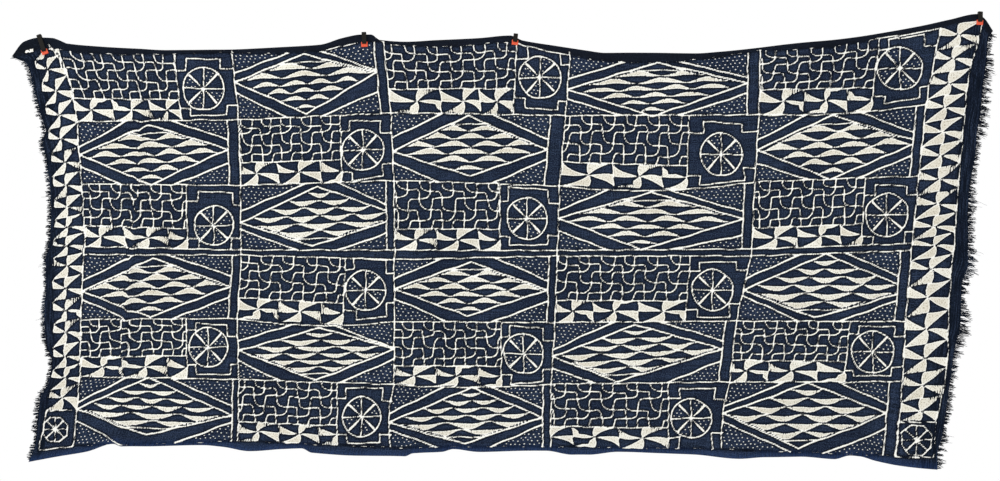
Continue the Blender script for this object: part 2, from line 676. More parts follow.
def column_point(column_line, row, share):
    """A point of a column line, at a share of the way down one row's place."""
    top, foot = ROW_SPANS[row - 1]
    start, end = ROW_LINES[top][column_line], ROW_LINES[foot][column_line]
    along, height = between(start, end, share)
    for bend_column, bend_row, bend in BENDS:
        if (bend_column, bend_row) == (column_line, row):
            along += bend * 4 * share * (1 - share)
    return along, height


def on_column(column_line, row, height):
    """The point of a column line at a height, within one row's place."""
    top, foot = ROW_SPANS[row - 1]
    high, low = ROW_LINES[top][column_line][1], ROW_LINES[foot][column_line][1]
    return column_point(column_line, row, (height - high) / (low - high))[0], height


def on_row(line, column, along):
    """The point of a row line at a place along it."""
    left, right = ROW_LINES[line][column - 1][0], ROW_LINES[line][column][0]
    return along, row_point(line, column, (along - left) / (right - left))[1]


def drawn(chance, points, slip=1.2):
    """Points, each a little off, as a hand draws them."""
    return [(x + chance.uniform(-slip, slip), z + chance.uniform(-slip, slip)) for x, z in points]


def grid_lines(figures):
    """The lines between the rows and the columns, and the bright edges."""
    shares = np.linspace(0, 1, 25)
    for line in range(len(ROW_LINES)):
        for column in range(1, 6):
            kind = OUTER_ROW_LINE if line in (0, len(ROW_LINES) - 1) else ROW_LINE
            figures.line([row_point(line, column, share) for share in shares], *kind)
    for column_line in range(6):
        points = column_path(column_line)
        if column_line in HIGH_COLUMN_LINES:
            points.insert(0, (points[0][0] + HIGH_START[0], points[0][1] + HIGH_START[1]))
        figures.line(points, *COLUMN_LINE)
    for path in BRIGHT_EDGES:
        figures.line(path, *CLEAR_LINE)


def net(figures, chance, corners, first, spacing, under_lip):
    """Two sets of stepped strands that cross: one steps down to the right, one to the left."""
    top_left, top_right, foot_right, foot_left = corners
    width = top_right[0] - top_left[0]
    pitch = spacing / width
    start = (first - top_left[0]) / width
    raised = 30 if under_lip else 0
    bounds = (
        (top_left[0], top_left[1] + raised), (top_right[0], top_right[1] + raised),
        foot_right, foot_left,
    )

    def place(u, v):
        u, v = u + chance.uniform(-0.03, 0.03) * pitch, v + chance.uniform(-0.012, 0.012)
        top = between(top_left, top_right, u)
        if under_lip:
            top = (top[0], lip_height(top[0]))
        return between(top, between(foot_left, foot_right, u), v)

    for side, shift, levels in STRANDS:
        for number in range(-3, 9):
            u = start + (number + shift + chance.uniform(-0.05, 0.05)) * pitch
            if not -2.3 * pitch < u < 1 + 2.3 * pitch:
                continue
            path = [place(u, -0.06)]
            for level in levels:
                level += chance.uniform(-0.02, 0.02)
                step = side * pitch
                path += [
                    place(u, level - 0.13), place(u + 0.06 * step, level - 0.05),
                    place(u + 0.24 * step, level), place(u + 0.55 * step, level + 0.005),
                    place(u + 0.84 * step, level), place(u + 0.93 * step, level + 0.015),
                    place(u + 0.97 * step, level + 0.09),
                ]
                u += step
            path += [place(u, 0.96), place(u, 1.06)]
            figures.line(softened(path), *NET_LINE, bounds)


def blade(figures, chance, middle, edge, corner, bow):
    """One blade of a pinwheel: from its middle to a side, along it to a corner, and back."""
    back = bowed(corner, middle, edge, bow, 7)[1:-1]
    if bow > HOLLOW_BOW and chance.random() < NOTCHED_SHARE:
        back[2] = between(back[2], edge, chance.uniform(0.2, 0.4))
    outline = np.concatenate([
        bowed(middle, edge, corner, -0.08), bowed(edge, corner, middle, 0.03, 3)[1:], back,
    ])
    figures.patch(outline, between(edge, corner, 0.6), chance.uniform(-0.7, 1))


def pinwheel(figures, chance, middle, box, bows=BAND_BOWS):
    """Four blades about a middle, in a box given by its corners from the top left, clockwise."""
    top_left, top_right, foot_right, foot_left = box

    def level_with(start, end, axis):
        share = (middle[axis] - start[axis]) / (end[axis] - start[axis])
        return between(start, end, min(max(share, 0.02), 0.98))

    sides = (
        (level_with(top_left, top_right, 0), top_right),
        (level_with(top_right, foot_right, 1), foot_right),
        (level_with(foot_left, foot_right, 0), foot_left),
        (level_with(top_left, foot_left, 1), top_left),
    )
    for edge, corner in sides:
        edge, corner = drawn(chance, (edge, corner), 0.9)
        bow = chance.uniform(*bows)
        if math.dist(edge, corner) > 5:
            blade(figures, chance, middle, edge, corner, bow)


def pinwheel_band(figures, chance, corners, middles):
    """Pinwheels side by side between the net's foot and the row line."""
    top_left, top_right, foot_right, foot_left = corners
    right = top_right[0]

    def box_side(along):
        share = (along - top_left[0]) / (right - top_left[0])
        shift = BAND_TILT if 0.02 < share < 0.98 else 0
        top, foot = between(top_left, top_right, share), between(foot_left, foot_right, share)
        return (top[0] - shift, top[1]), (foot[0] + shift, foot[1])

    bounds = [top_left[0]] + [(a + b) / 2 for a, b in zip(middles, middles[1:])] + [right]
    if right - middles[-1] < 8:
        bounds[-1] = right + 30
    for number, along in enumerate(middles):
        left_top, left_foot = box_side(bounds[number])
        right_top, right_foot = box_side(min(bounds[number + 1], right))
        middle = (along, (left_top[1] + left_foot[1] + right_top[1] + right_foot[1]) / 4)
        if along > right - 8:
            middle = (right - 1, middle[1])
        pinwheel(figures, chance, middle, (left_top, right_top, right_foot, left_foot))


def spoke(figures, middle, angle, reach):
    """A spoke that is narrow at the hub and wide at the rim."""
    ahead, aside = (math.cos(angle), math.sin(angle)), (-math.sin(angle), math.cos(angle))
    outline = []
    for side, form in ((1, SPOKE_FORM), (-1, SPOKE_FORM[::-1])):
        for share, half in form:
            outline.append([share * reach * ahead[i] + side * half * aside[i] for i in (0, 1)])
    figures.patch(np.array(outline) + np.array(middle))


def wheel(figures, chance, middle, radius, turned):
    """A ring with eight spokes, with dots in every other sector."""
    phase = chance.uniform(0, 6)
    ring = []
    for number in range(33):
        angle = 2 * math.pi * number / 32
        reach = radius * (1 + 0.022 * math.sin(2 * angle + phase) + 0.012 * math.sin(5 * angle))
        ring.append((middle[0] + reach * math.cos(angle), middle[1] + reach * math.sin(angle)))
    figures.line(ring, *RIM_LINE)
    for number in range(8):
        angle = math.pi / 4 * number + chance.uniform(-0.04, 0.04)
        if number % 2:
            spoke(figures, middle, angle, radius * SPOKE_REACH)
            continue
        tip = (middle[0] + radius * math.cos(angle), middle[1] + radius * math.sin(angle))
        figures.line([middle, tip], *SPOKE_LINE)
    for number in range(4):
        angle = math.pi / 2 * number + (math.pi / 4 if turned == 0 else 0)
        sector = [middle]
        for share in (0, 0.5, 1):
            turn = angle + math.pi / 4 * share
            sector.append((
                middle[0] + radius * math.cos(turn), middle[1] + radius * math.sin(turn),
            ))
        figures.dots(sector, SECTOR_MARGIN)


def stepped_frame(figures, chance, cell, middle, steps):
    """The frame round a wheel: a bar above and one below, each stepped down at both ends."""
    top_left, top_right, foot_right, foot_left = cell
    far_left, far_right = min(top_left[0], foot_left[0]) - 4, max(top_right[0], foot_right[0]) + 4
    for part, edge in ((steps[:6], max(top_left[1], top_right[1])), (steps[6:], None)):
        shoulder_left, step_left, bar_left, bar_right, step_right, shoulder_right = part
        x_left, x_right = middle[0] + step_left, middle[0] + step_right
        z_left, z_right = middle[1] + shoulder_left, middle[1] + shoulder_right
        left = [(far_left, z_left), (x_left, z_left)]
        right = [(x_right, z_right), (far_right, z_right)]
        if bar_left is None:
            beyond = edge if edge is not None else min(foot_left[1], foot_right[1])
            figures.line(drawn(chance, left + [(x_left, beyond)]), *STEP_LINE, cell)
            figures.line(drawn(chance, [(x_right, beyond)] + right), *STEP_LINE, cell)
            continue
        bar = [(x_left, middle[1] + bar_left), (x_right, middle[1] + bar_right)]
        figures.line(drawn(chance, left + bar + right), *STEP_LINE, cell)


def net_place(figures, row_data, steps):
    """A place with a net, the pinwheels at its foot, and a wheel in its stepped frame."""
    (row, column, upright_top, upright_foot, foot_left, foot_right, first, spacing,
     wheel_along, wheel_height, radius, turned, *middles) = row_data
    chance = random.Random(row * 10 + column)
    above, below = ROW_SPANS[row - 1]
    top_left, top_right = ROW_LINES[above][column - 1], ROW_LINES[above][column]
    low_left, low_right = ROW_LINES[below][column - 1], ROW_LINES[below][column]
    upright = (on_row(above, column, upright_top), on_row(below, column, upright_foot))
    share = (upright[0][1] - foot_right) / (upright[0][1] - upright[1][1])
    net_foot = (on_column(column - 1, row, foot_left), between(*upright, share))
    figures.line([upright[0], between(*upright, 0.5), upright[1]], *UPRIGHT_LINE)
    figures.line(net_foot, *CLEAR_LINE)
    corners = (top_left, upright[0], net_foot[1], net_foot[0])
    net(figures, chance, corners, first, spacing, row == 1)
    band = (net_foot[0], net_foot[1], upright[1], low_left)
    pinwheel_band(figures, chance, band, middles)
    middle = (wheel_along, wheel_height)
    wheel(figures, chance, middle, radius, turned)
    cell = (upright[0], top_right, low_right, upright[1])
    stepped_frame(figures, chance, cell, middle, steps)


def leaf_rows(figures, corners, turned):
    """Rows of leaves, each from side to side of a lozenge, and the thin line in its corner."""
    top, right_up, right_low, foot, left = corners
    spot, places = figures.near(corners)
    side_points = (top, right_up, right_low, foot, left)
    room = depth_in(places, side_points)
    run = np.array(between(right_up, right_low, 0.5)) - np.array(left)
    slope = run[1] / run[0]
    across = np.linspace(left[0], max(right_up[0], right_low[0]), 200)
    spacing = LEAF_ROW_HEIGHT * abs(top[1] - foot[1])
    hang = -1 if turned else 1
    depth = np.full(len(places), -FIGURE_REACH)
    for number, count in enumerate(LEAF_COUNTS):
        share = FIRST_LEAVES + LEAF_STEP * number
        if turned:
            share = 1 - share
        base = between(top, foot, share)
        lie = slope * (1 - abs(share - 0.55) * 0.9)
        base_line = np.stack([across, base[1] + (across - base[0]) * lie], axis=-1)
        inside_sides = across[depth_in(base_line, side_points) > 1.5]
        first, last = inside_sides[0], inside_sides[-1]
        drift = (places[:, 0] - base[0]) * lie
        phase = np.clip((places[:, 0] - first) / (last - first), 0, 1) * count
        phase += 0.07 * np.sin(math.pi * phase / count) * math.sin(number * 2.3 + base[0])
        from_crest = np.abs(phase % 1 - 0.5) * 2
        leaf = (0.5 + 0.5 * np.cos(np.clip(from_crest * 1.02, 0, 1) * math.pi)) ** 0.72
        leaf *= 1 + 0.12 * np.sin(places[:, 0] / 17 + number * 2.3 + base[0])
        leaf *= min(1, (last - first) / count / (0.25 * run[0]))
        rim = base[1] + drift + hang * spacing * LEAF_RIM * leaf
        crest = base[1] + drift + hang * spacing * (LEAF_NECK + LEAF_CREST * leaf)
        low, high = (crest, rim) if turned else (rim, crest)
        inside = np.minimum(places[:, 1] - low, high - places[:, 1])
        depth = np.maximum(depth, inside)
    figures.add_undyed(spot, np.minimum(depth, room - LEAF_GAP))
    figures.loose[spot] = np.maximum(figures.loose[spot], LEAF_LOOSENESS * (depth > 1.2))
    middle = between(top, foot, TURNED_LEAF_LINE_PLACE if turned else LEAF_LINE_PLACE)
    reaches = (-LEAF_LINE_HALF, LEAF_LINE_HALF)
    line = [(middle[0] + reach, middle[1] + reach * slope) for reach in reaches]
    figures.line(line, *LEAF_LINE, side_points)


def lozenge_place(figures, row_data):
    """A place with a lozenge of leaves, dotted triangles in its corners, and a plain strip."""
    (row, column, strip, top_along, top_height, right_up, right_low, left_height, foot_along,
     foot_height, outer, turned) = row_data
    chance = random.Random(row * 10 + column)
    above, below = ROW_SPANS[row - 1]

    def strip_point(height):
        along, _ = on_column(column, row, height)
        return along - strip, height

    high = on_row(above, column, ROW_LINES[above][column][0] - strip)
    low = on_row(below, column, ROW_LINES[below][column][0] - strip)
    if strip:
        figures.line([high, strip_point((high[1] + low[1]) / 2), low], *BESIDE_STRIP_LINE)
    top, foot = (top_along, top_height), (foot_along, foot_height)
    left = on_column(column - 1, row, left_height)
    right_up, right_low = strip_point(right_up), strip_point(right_low)
    for start, end in ((left, top), (top, right_up), (right_low, foot), (foot, left)):
        middle = drawn(chance, [between(start, end, 0.5)], 1.5)[0]
        figures.line(softened([start, middle, end], 1), *BOLD_LINE)
    top_left, foot_left = ROW_LINES[above][column - 1], ROW_LINES[below][column - 1]
    ends = (
        (above, outer[0], on_column(column - 1, row, outer[1]), top_left),
        (above, outer[2], strip_point(outer[3]), high),
        (below, outer[4], on_column(column - 1, row, outer[5]), foot_left),
        (below, outer[6], strip_point(outer[7]), low),
    )
    for line, along, side, corner in ends:
        start = on_row(line, column, along)
        middle = drawn(chance, [between(start, side, 0.5)], 1.5)[0]
        figures.line(softened([start, middle, side], 1), *BOLD_LINE)
        figures.dots((start, side, corner), TRIANGLE_MARGIN)
    leaf_rows(figures, (top, right_up, right_low, foot, left), turned)


def side_border(figures, side, heights, inner, tilt, lean, first, last, bows):
    """A column of pinwheels between the last column line and the border's outer side."""
    chance = random.Random(len(side) + int(heights[0]))
    outer_heights, outer_alongs = np.array(side, float)[::-1, 1], np.array(side, float)[::-1, 0]
    inner_heights, inner_alongs = np.array(inner, float)[::-1, 1], np.array(inner, float)[::-1, 0]
    outer_is_left = outer_alongs.mean() < inner_alongs.mean()

    def ends(height, slope):
        """Where a tilted line across the border meets its outer and its inner side."""
        along_out = np.interp(height, outer_heights, outer_alongs)
        along_in = np.interp(height, inner_heights, inner_alongs)
        drop = slope * abs(along_in - along_out) / 2 * (-1 if outer_is_left else 1)
        outer_point = (np.interp(height + drop, outer_heights, outer_alongs), height + drop)
        inner_point = (np.interp(height - drop, inner_heights, inner_alongs), height - drop)
        return (outer_point, inner_point) if outer_is_left else (inner_point, outer_point)

    bounds = [first] + [(a + b) / 2 for a, b in zip(heights, heights[1:])] + [last]
    for number, height in enumerate(heights):
        last_tilt = 0 if number + 1 == len(heights) else tilt
        top, foot = ends(bounds[number], tilt), ends(bounds[number + 1], last_tilt)
        middle = between(*ends(height, tilt), lean + chance.uniform(-0.03, 0.03))
        pinwheel(figures, chance, middle, (top[0], top[1], foot[1], foot[0]), bows)


def corner_square(figures, corners, middle, radius, seed):
    """The small wheel at the foot of a border, and the lines round it."""
    top_left, top_right, foot_right, foot_left = corners
    for line in ((top_left, top_right), (foot_left, foot_right), (top_left, foot_left)):
        figures.line(line, *SQUARE_LINE)
    chance = random.Random(seed)
    ring = []
    for number in range(9):
        angle = math.pi / 4 * number + 0.3
        reach = radius * chance.uniform(0.96, 1.04)
        ring.append((middle[0] + reach * math.cos(angle), middle[1] + reach * math.sin(angle)))
    ring[-1] = ring[0]
    figures.line(ring, *SMALL_RIM_LINE)
    for number in range(8):
        angle = math.pi / 4 * number + chance.uniform(-0.05, 0.05)
        tip = (
            middle[0] + radius * 0.9 * math.cos(angle), middle[1] + radius * 0.9 * math.sin(angle),
        )
        figures.line([middle, tip], *SMALL_SPOKE_LINES[number % 2])


def column_path(column_line):
    """A column line from the top row to the last."""
    points = []
    for row in range(1, 7):
        points += [column_point(column_line, row, share) for share in np.linspace(0, 1, 7)]
    return points


def draw_figures(along, height):
    """All the figures. What would stand on the lip is trimmed before the lines are drawn."""
    figures = Figures(along, height)
    steps = {(row, column): rest for row, column, *rest in STEPS}
    for row_data in NETS:
        net_place(figures, row_data, steps[row_data[0], row_data[1]])
    for row_data in LOZENGES:
        lozenge_place(figures, row_data)
    for side, heights, column_line, *form in BORDERS:
        side_border(figures, side, heights, column_path(column_line), *form)
    figures.trim(lip_height(figures.along))
    grid_lines(figures)
    figures.line(CORNER_BAR, CORNER_BAR_WIDTH)
    figures.line(RIGHT_BORDER, *BORDER_LINE)
    for square in CORNER_SQUARES:
        corner_square(figures, *square)
    figures.line(SQUARE_END, *SQUARE_END_LINE)
    return figures


def build_strip(number, points, flat, figures, cotton):
    """One woven strip of the hung cloth, as a thin sheet with its own place in the figures."""
    rows = slice(number * ROWS, (number + 1) * ROWS + 1)
    bpy.ops.mesh.primitive_grid_add(x_subdivisions=COLUMNS, y_subdivisions=ROWS, size=1)
    strip = bpy.context.object
    strip.name = f"strip_{number + 1}"
    mesh = strip.data
    mesh.vertices.foreach_set("co", points[rows][::-1].astype(np.float32).ravel())
    corner_vertices = np.empty(len(mesh.loops), np.int32)
    mesh.loops.foreach_get("vertex_index", corner_vertices)
    mesh.uv_layers.active.name = "flat"
    laid_out = flat[rows][::-1].reshape(-1, 2)[corner_vertices]
    mesh.uv_layers["flat"].data.foreach_set("uv", laid_out.astype(np.float32).ravel())
    lip = figures.height - lip_height(figures.along)
    for name, values in (
        ("undyed", figures.undyed), ("dotted", figures.dotted), ("loose", figures.loose),
        ("lip", lip),
    ):
        layer = mesh.attributes.new(name, "FLOAT", "POINT")
        depths = np.clip(values[rows][::-1], -FIGURE_REACH, FIGURE_REACH)
        layer.data.foreach_set("value", depths.astype(np.float32).ravel())
    thick = strip.modifiers.new("thickness", "SOLIDIFY")
    thick.thickness = SHEET_THICKNESS
    thick.offset = 0
    bpy.ops.object.modifier_apply(modifier=thick.name)
    mesh.materials.append(cotton)
    bpy.ops.object.shade_smooth_by_angle(angle=math.radians(40))
    strip.select_set(False)
    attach(strip, "root")
    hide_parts("cloth")
    return strip


def linear(colour):
    """An sRGB hex colour as linear red, green, blue and alpha."""
    parts = [int(colour[i : i + 2], 16) / 255 for i in (1, 3, 5)]
    return [c / 12.92 if c <= 0.04045 else ((c + 0.055) / 1.055) ** 2.4 for c in parts] + [1.0]


def add(tree, kind, inputs=None, **settings):
    """Adds a node: settings are its properties, and inputs are values or sockets that feed it."""
    node = tree.nodes.new("ShaderNode" + kind)
    for name, value in settings.items():
        setattr(node, name, value)
    for key, value in (inputs or {}).items():
        if isinstance(value, bpy.types.NodeSocket):
            tree.links.new(value, node.inputs[key])
        else:
            node.inputs[key].default_value = value
    return node


def new_material(name, roughness, gloss=0.5):
    """A material of one shader, with its tree and that shader."""
    material = bpy.data.materials.new(name)
    material.use_nodes = True
    tree = material.node_tree
    shader = tree.nodes["Principled BSDF"]
    shader.inputs["Roughness"].default_value = roughness
    shader.inputs["Specular IOR Level"].default_value = gloss
    return material, tree, shader


def mix(tree, factor, first, second):
    """One colour laid over another by a factor."""
    return add(
        tree, "Mix", {0: factor, 6: first, 7: second}, data_type="RGBA", clamp_factor=True
    ).outputs[2]


def ramp(tree, value, low, high, to_low=0.0, to_high=1.0):
    """A value that runs from one number to another while its input does the same."""
    return add(
        tree, "MapRange", {0: value, 1: low, 2: high, 3: to_low, 4: to_high}, clamp=True
    ).outputs[0]


def indigo_cotton():
    """Handspun cotton, woven in strips, stitched with raffia, dyed in indigo and unpicked: matt,
    slubby, blue where the dye took and cream where the stitches kept it out, with a darker rim
    of pooled dye beside each cream figure and specks of dye that seeped under the stitches."""
    material, tree, shader = new_material("indigo_dyed_handspun_cotton", 0.92, 0.03)
    flat = add(tree, "UVMap", uv_map="flat").outputs[0]
    undyed = add(tree, "Attribute", attribute_name="undyed").outputs["Fac"]
    dotted = add(tree, "Attribute", attribute_name="dotted").outputs["Fac"]
    loose = add(tree, "Attribute", attribute_name="loose").outputs["Fac"]
    place = add(tree, "SeparateXYZ", {0: flat})

    def noise(scale_x, scale_y, detail=2.0, rotation=0.0):
        stretched = add(
            tree, "Mapping", {0: flat, 2: (0, 0, rotation), 3: (scale_x, scale_y, 1)}
        ).outputs[0]
        return add(
            tree, "TexNoise", {"Vector": stretched, "Scale": 1.0, "Detail": detail},
            noise_dimensions="2D",
        ).outputs[0]

    def math_of(operation, first, second):
        return add(tree, "Math", {0: first, 1: second}, operation=operation).outputs[0]

    # Stitches leave a combed edge, with deeper teeth where they were loose
    comb = math_of("MULTIPLY", math_of("SUBTRACT", noise(620, 190, 1.0), 0.5), 1.6)
    teeth = math_of("SUBTRACT", noise(430, 70, 1.0, 0.5), 0.64)
    comb = math_of("ADD", comb, math_of("MULTIPLY", math_of("MULTIPLY", teeth, loose), 24.0))
    fine = math_of("MULTIPLY", math_of("SUBTRACT", noise(1500, 1500, 0.0), 0.5), 0.8)
    edge = math_of("ADD", undyed, math_of("ADD", comb, fine))
    figure = ramp(tree, edge, -0.05, 0.4)

    # Tied dots, 10 mm apart in rows 7 mm apart, each row shifted by half a step, 2.8 mm wide
    # and 1.9 mm high, each a little off its place
    shrunk = add(tree, "Mapping", {0: flat, 3: (1 / DOT_STEP, 0.5 / DOT_ROW, 1)}).outputs[0]
    turned = add(tree, "Mapping", {0: shrunk, 2: (0, 0, math.pi / 4)}).outputs[0]
    turned = add(tree, "VectorMath", {0: turned, 3: math.sqrt(2)}, operation="SCALE").outputs[0]
    cells = add(
        tree, "TexVoronoi", {"Vector": turned, "Scale": 1.0, "Randomness": 0.35},
        voronoi_dimensions="2D",
    )
    away = add(
        tree, "VectorMath", {0: turned, 1: cells.outputs["Position"]}, operation="SUBTRACT"
    ).outputs[0]
    away = add(tree, "Mapping", {0: away, 2: (0, 0, -math.pi / 4)}).outputs[0]
    stretch = (DOT_STEP / DOT_WIDTH * math.sqrt(2), DOT_ROW / DOT_HEIGHT * 2 * math.sqrt(2), 0)
    away = add(tree, "VectorMath", {0: away, 1: stretch}, operation="MULTIPLY").outputs[0]
    away = add(tree, "VectorMath", {0: away}, operation="LENGTH").outputs["Value"]
    away = math_of("ADD", away, math_of("MULTIPLY", math_of("SUBTRACT", noise(150, 150), 0.5), 1.1))
    dot = math_of("MULTIPLY", ramp(tree, away, 1.12, 0.85, 0, 0.8), ramp(tree, dotted, 0.0, 0.6))
    cream_here = math_of("MAXIMUM", figure, dot)

    # Blue: yarns took the dye unevenly, along the strip and across it
    warp_streaks = noise(14, 420, 3.0)
    weft_streaks = noise(420, 22, 3.0)
    clouds = noise(9, 9, 3.0)
    blue = mix(tree, ramp(tree, warp_streaks, 0.4, 0.6), linear("#101723"), linear("#242F44"))
    blue = mix(tree, ramp(tree, weft_streaks, 0.5, 0.75, 0, 0.6), blue, linear("#36435B"))
    blue = mix(tree, ramp(tree, clouds, 0.45, 0.65, 0, 0.6), blue, linear("#111727"))
    grain = noise(560, 430, 2.0)
    blue = mix(tree, ramp(tree, grain, 0.5, 0.72, 0, 0.5), blue, linear("#4A5A76"))
    blue = mix(tree, ramp(tree, grain, 0.48, 0.32, 0, 0.7), blue, linear("#0B111C"))
    pooled = ramp(tree, undyed, -4.6, -1.0, 0.0, 0.78)
    blue = mix(tree, pooled, blue, linear("#04060B"))

    # Plain end margins, which were dipped once more: almost black, with paler worn patches
    margin = math_of("MAXIMUM", ramp(tree, place.outputs[0], 0.03, 0.018),
                     ramp(tree, place.outputs[0], CLOTH_LENGTH - 0.045, CLOTH_LENGTH - 0.03))
    worn = ramp(tree, weft_streaks, 0.42, 0.62, 0.9, 0.35)
    blue = mix(tree, math_of("MULTIPLY", margin, worn), blue, linear("#0B111B"))

    # Lip above the first line: almost black; hem at the foot: worn brighter
    under_lip = add(tree, "Attribute", attribute_name="lip").outputs["Fac"]
    lip = ramp(tree, math_of("ADD", under_lip, math_of("MULTIPLY", clouds, 6.0)), 1.5, 6.5)
    blue = mix(tree, math_of("MULTIPLY", lip, 0.85), blue, linear("#11141A"))
    hem = ramp(tree, place.outputs[1], CLOTH_DROP - 0.016, CLOTH_DROP - 0.004, 0.0, 0.45)
    blue = mix(tree, math_of("MULTIPLY", hem, ramp(tree, weft_streaks, 0.3, 0.6)), blue,
               linear("#2A4270"))

    # Cream: tan specks where dye and dust sit in the stitch holes. Lines and the rims of the
    # figures, where the stitches were tightest, stayed whiter
    specks = ramp(tree, noise(420, 340, 2.0), 0.53, 0.68, 0.0, 0.75)
    cream = mix(tree, ramp(tree, clouds, 0.35, 0.65), linear("#EBE9DE"), linear("#DAD5C6"))
    cream = mix(tree, specks, cream, linear("#9C917A"))
    cream = mix(tree, ramp(tree, undyed, 2.2, 1.0), cream, linear("#F6F5EE"))
    colour = mix(tree, cream_here, blue, cream)
    tree.links.new(colour, shader.inputs["Base Color"])

    # Weave: real threads lie 0.8 mm apart, drawn 2.4 mm apart so that they show
    threads = []
    for direction, pitch in (("X", 0.0024), ("Y", 0.0026)):
        threads.append(add(
            tree, "TexWave", {"Vector": flat, "Scale": 1 / pitch / 3.18, "Distortion": 1.2,
                              "Detail": 1.0, "Detail Scale": 2.0},
            bands_direction=direction,
        ).outputs["Fac"])
    woven = math_of("MULTIPLY", threads[0], threads[1])
    woven = math_of("ADD", woven, math_of("MULTIPLY", weft_streaks, 0.8))
    woven = math_of("ADD", woven, math_of("MULTIPLY", ramp(tree, edge, -1.0, 1.2), 0.5))
    bump = add(tree, "Bump", {"Strength": 0.35, "Distance": 0.0005, "Height": woven})
    tree.links.new(bump.outputs[0], shader.inputs["Normal"])
    return material


def indigo_yarn():
    """Frayed warp ends of the same handspun cotton: fuzzy, matt, dark, a few worn paler."""
    material, tree, shader = new_material("frayed_indigo_yarn", 0.95, 0.1)
    place = add(tree, "TexCoord").outputs["Object"]
    worn = add(tree, "TexNoise", {"Vector": place, "Scale": 260.0, "Detail": 2.0}).outputs[0]
    patchy = add(tree, "TexNoise", {"Vector": place, "Scale": 14.0, "Detail": 1.0}).outputs[0]
    colour = mix(tree, ramp(tree, worn, 0.4, 0.7), linear("#0A0E17"), linear("#1A2434"))
    colour = mix(tree, ramp(tree, patchy, 0.55, 0.8, 0, 0.45), colour, linear("#33465F"))
    tree.links.new(colour, shader.inputs["Base Color"])
    bump = add(tree, "Bump", {"Strength": 0.5, "Distance": 0.0004, "Height": worn})
    tree.links.new(bump.outputs[0], shader.inputs["Normal"])
    return material


def moulded_nylon():
    """Black nylon of the clips' jaws and rolls: satin, with the fine grain of a worn mould."""
    material, tree, shader = new_material("moulded_dark_nylon", 0.5, 0.15)
    place = add(tree, "TexCoord").outputs["Object"]
    grain = add(tree, "TexNoise", {"Vector": place, "Scale": 900.0, "Detail": 2.0}).outputs[0]
    colour = mix(tree, ramp(tree, grain, 0.4, 0.7), linear("#0B0A08"), linear("#1F1A14"))
    tree.links.new(colour, shader.inputs["Base Color"])
    tree.links.new(ramp(tree, grain, 0.3, 0.7, 0.42, 0.62), shader.inputs["Roughness"])
    bump = add(tree, "Bump", {"Strength": 0.3, "Distance": 0.0002, "Height": grain})
    tree.links.new(bump.outputs[0], shader.inputs["Normal"])
    return material


def grip_rubber():
    """Orange rubber of the clips' pads: soft, slightly mottled, dusty in its grooves."""
    material, tree, shader = new_material("orange_grip_rubber", 0.6, 0.4)
    place = add(tree, "TexCoord").outputs["Object"]
    mottle = add(tree, "TexNoise", {"Vector": place, "Scale": 420.0, "Detail": 3.0}).outputs[0]
    colour = mix(tree, ramp(tree, mottle, 0.35, 0.7), linear("#DD4526"), linear("#EE6B45"))
    tree.links.new(colour, shader.inputs["Base Color"])
    tree.links.new(ramp(tree, mottle, 0.3, 0.7, 0.5, 0.7), shader.inputs["Roughness"])
    bump = add(tree, "Bump", {"Strength": 0.3, "Distance": 0.0003, "Height": mottle})
    tree.links.new(bump.outputs[0], shader.inputs["Normal"])
    return material


def yarn_shape():
    """Corners and faces of one yarn: a three-sided cone one unit long, cut across twice."""
    bpy.ops.mesh.primitive_cone_add(vertices=3, radius1=1, radius2=0.6, depth=1)
    yarn = bpy.context.object
    bpy.ops.object.mode_set(mode="EDIT")
    for height in (-0.17, 0.17):
        bpy.ops.mesh.select_all(action="SELECT")
        bpy.ops.mesh.bisect(plane_co=(0, 0, height), plane_no=(0, 0, 1))
    bpy.ops.object.mode_set(mode="OBJECT")
    corners = np.array([vertex.co for vertex in yarn.data.vertices])
    faces = [list(face.vertices) for face in yarn.data.polygons]
    bpy.data.objects.remove(yarn)
    return corners, faces


